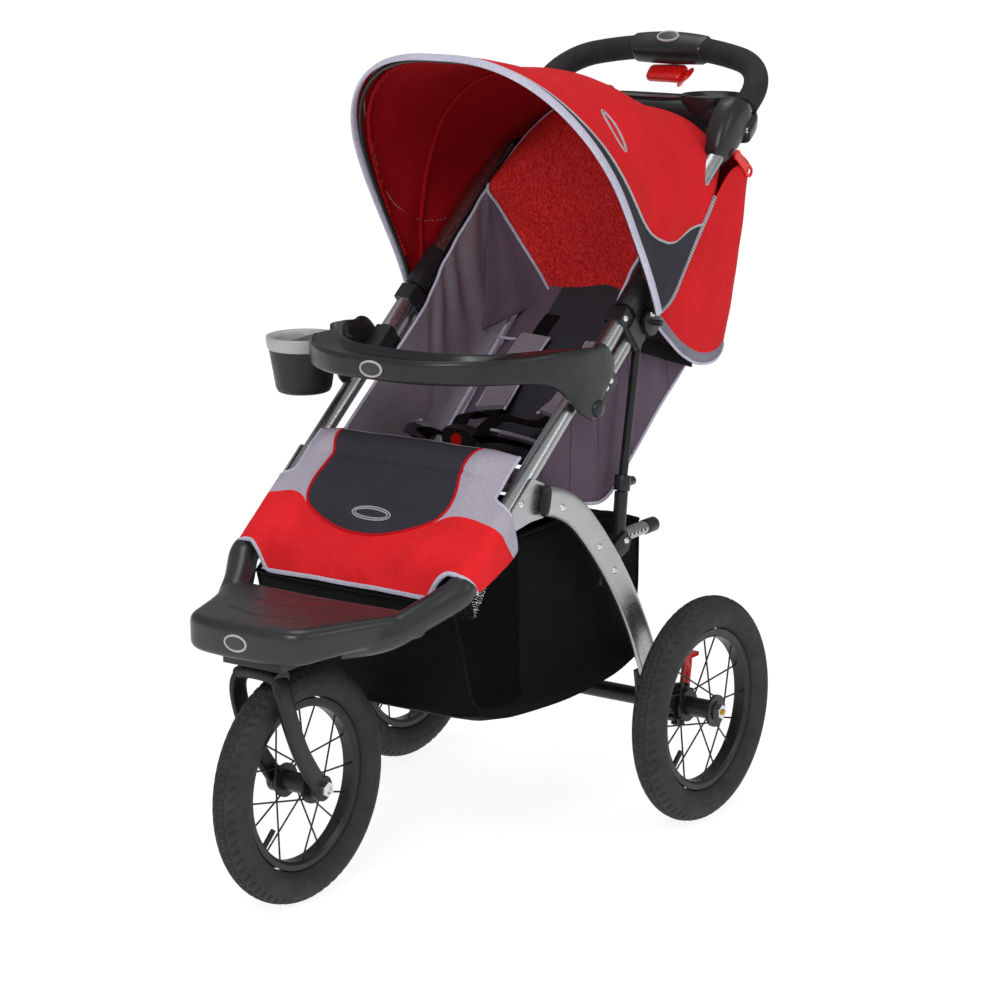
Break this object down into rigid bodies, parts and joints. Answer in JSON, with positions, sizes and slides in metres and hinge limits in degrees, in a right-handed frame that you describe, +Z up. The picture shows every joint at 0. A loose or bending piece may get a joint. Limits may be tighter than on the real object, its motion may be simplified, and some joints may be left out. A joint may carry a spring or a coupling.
{
  "type": "jogging stroller",
  "caption": "Folding three-wheeled jogging stroller with spoked pneumatic wheels, swivel fork, reclining seat, hinged canopy, snack tray, handle tray and under-seat basket.",
  "frame": {"origin": "centre of the footprint box, on the floor under the wheels", "axes": "+Y to the rear (the pushing end), +X to the right rear wheel seen from the handle, +Z up"},
  "size_m": [0.568, 1.0514, 1.0419],
  "materials": {
    "aluminium": "satin",
    "black_plastic": "satin",
    "black_steel": "satin",
    "zinc_steel": "satin",
    "tyre_rubber": "matte",
    "foam_grip": "matte",
    "red_plastic": "gloss",
    "silver_plastic": "gloss",
    "red_canvas": "matte",
    "red_heather": "matte",
    "mauve_canvas": "matte",
    "charcoal_canvas": "matte",
    "lilac_binding": "matte",
    "black_fabric": "matte",
    "webbing": "matte"
  },
  "bodies": {
    "root": {"lower_side_tubes": "aluminium", "swivel_housing": "black_steel", "footrest": "black_plastic", "footrest_badge": "silver_plastic", "lower_hinge_brackets": "black_plastic", "link_bars": "aluminium", "upper_hinge_plates": "black_plastic", "hinge_pins": "black_steel", "leg_gussets": "aluminium", "rear_legs": "aluminium", "rear_axle_tube": "black_steel", "axle_brackets": "black_steel", "rear_axles": "zinc_steel", "strut_rods": "black_steel", "strut_sleeves": "black_steel", "strut_collars": "black_plastic", "strut_brackets": "black_steel", "basket_side_bars": "zinc_steel", "basket_bar_caps": "black_plastic", "frame_rivets": "zinc_steel", "basket": "black_fabric", "seat_base": "mauve_canvas", "leg_rest": "red_canvas", "side_wing_left": "mauve_canvas", "side_wing_right": "mauve_canvas", "crotch_strap": "webbing", "harness_buckle": "black_plastic", "recline_straps": "webbing"},
    "buckle_button": {"buckle_button": "silver_plastic"},
    "seat_back": {"seat_back": "red_heather", "shoulder_straps": "webbing"},
    "handle": {"handle_sleeves": "black_plastic", "handle_tube": "aluminium", "handle_grips": "foam_grip", "handle_console": "black_plastic", "console_badge": "silver_plastic", "parent_tray": "black_plastic", "canopy_roof": "red_canvas", "canopy_drape": "red_canvas"},
    "fold_trigger": {"fold_trigger": "red_plastic"},
    "storage_hook": {"storage_hook": "red_plastic"},
    "canopy_front": {"canopy_bow": "black_steel", "canopy_visor": "red_canvas"},
    "child_tray": {"child_tray": "black_plastic", "tray_cup": "silver_plastic", "tray_badge": "silver_plastic"},
    "fork": {"front_fork": "black_steel", "front_axle": "zinc_steel"},
    "swivel_lock": {"swivel_lock": "black_steel"},
    "front_wheel": {"front_tyre": "tyre_rubber", "front_rim": "black_steel", "front_spoked_hub": "black_steel"},
    "rear_wheel_left": {"rear_tyre_left": "tyre_rubber", "rear_rim_left": "black_steel", "rear_spoked_hub_left": "black_steel"},
    "rear_wheel_right": {"rear_tyre_right": "tyre_rubber", "rear_rim_right": "black_steel", "rear_spoked_hub_right": "black_steel"},
    "brake_left": {"brake_lever_left": "red_plastic"},
    "brake_right": {"brake_lever_right": "red_plastic"}
  },
  "joints": [
    {"name": "handle_fold", "type": "hinge", "parent": "root", "child": "handle", "pos_m": [0, 0.146, 0.684], "axis": [1, 0, 0], "range_deg": [-95, 0], "deforming": ["canopy_drape"]},
    {"name": "canopy_swing", "type": "hinge", "parent": "handle", "child": "canopy_front", "pos_m": [0, 0.146, 0.684], "axis": [1, 0, 0], "range_deg": [-46, 0]},
    {"name": "seat_recline", "type": "hinge", "parent": "root", "child": "seat_back", "pos_m": [0, 0.098, 0.458], "axis": [1, 0, 0], "range_deg": [0, 30], "deforming": ["recline_straps"]},
    {"name": "fork_swivel", "type": "hinge", "parent": "root", "child": "fork", "pos_m": [0, -0.4305, 0.34], "axis": [0, 0, 1], "continuous": true},
    {"name": "front_wheel_spin", "type": "hinge", "parent": "fork", "child": "front_wheel", "pos_m": [0, -0.3705, 0.155], "axis": [1, 0, 0], "continuous": true},
    {"name": "rear_wheel_spin_left", "type": "hinge", "parent": "root", "child": "rear_wheel_left", "pos_m": [-0.251, 0.1825, 0.155], "axis": [1, 0, 0], "continuous": true},
    {"name": "rear_wheel_spin_right", "type": "hinge", "parent": "root", "child": "rear_wheel_right", "pos_m": [0.251, 0.1825, 0.155], "axis": [1, 0, 0], "continuous": true},
    {"name": "brake_left_press", "type": "hinge", "parent": "root", "child": "brake_left", "pos_m": [-0.208, 0.206, 0.172], "axis": [1, 0, 0], "range_deg": [-22, 0]},
    {"name": "brake_right_press", "type": "hinge", "parent": "root", "child": "brake_right", "pos_m": [0.208, 0.206, 0.172], "axis": [1, 0, 0], "range_deg": [-22, 0]},
    {"name": "swivel_lock_drop", "type": "slide", "parent": "root", "child": "swivel_lock", "axis": [0, 0, -1], "range_m": [0, 0.008], "stiffness_N_per_m": 500, "springref_m": -0.002},
    {"name": "tray_lift", "type": "slide", "parent": "root", "child": "child_tray", "axis": [0, -0.6232, 0.7821], "range_m": [0, 0.06]},
    {"name": "trigger_squeeze", "type": "slide", "parent": "handle", "child": "fold_trigger", "axis": [0, 0.7821, 0.6232], "range_m": [0, 0.006], "stiffness_N_per_m": 600, "springref_m": -0.003},
    {"name": "storage_hook_swing", "type": "hinge", "parent": "handle", "child": "storage_hook", "pos_m": [0.1919, 0.36073, 0.8821], "axis": [1, 0, 0], "range_deg": [-50, 60]},
    {"name": "buckle_press", "type": "slide", "parent": "root", "child": "buckle_button", "axis": [0, 1, 0], "range_m": [0, 0.002], "stiffness_N_per_m": 500, "springref_m": -0.001}
  ]
}
